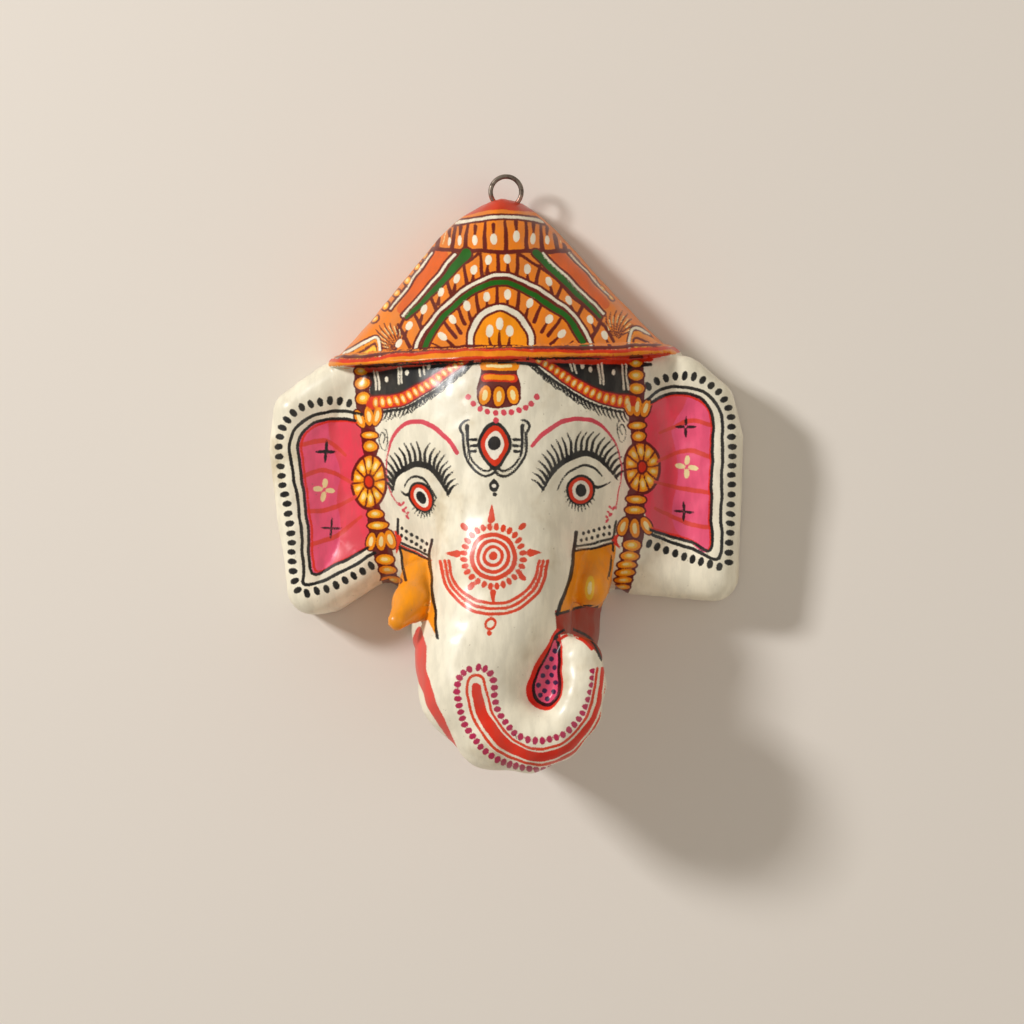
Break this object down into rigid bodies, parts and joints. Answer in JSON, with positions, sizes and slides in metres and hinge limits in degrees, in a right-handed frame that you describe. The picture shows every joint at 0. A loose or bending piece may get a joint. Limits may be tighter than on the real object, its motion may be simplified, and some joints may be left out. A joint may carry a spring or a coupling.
{
  "type": "papier-mache elephant mask",
  "caption": "Hollow papier-mache mask of an elephant's head with a tall crown, spread ears, tusks and a curled trunk, with a wire ring at the peak to hang it by.",
  "frame": {"origin": "middle of the whole object's box in X and Y, on the plane of the open back's rim", "axes": "+Y from the trunk towards the crown's peak, +Z out of the face, +X to the viewer's right"},
  "size_m": [0.2386, 0.2982, 0.1027],
  "materials": {
    "painted_paper": "gloss",
    "wire": "satin"
  },
  "bodies": {
    "root": {"papier_mache_mask": "painted_paper", "hanging_ring": "wire"}
  },
  "joints": []
}
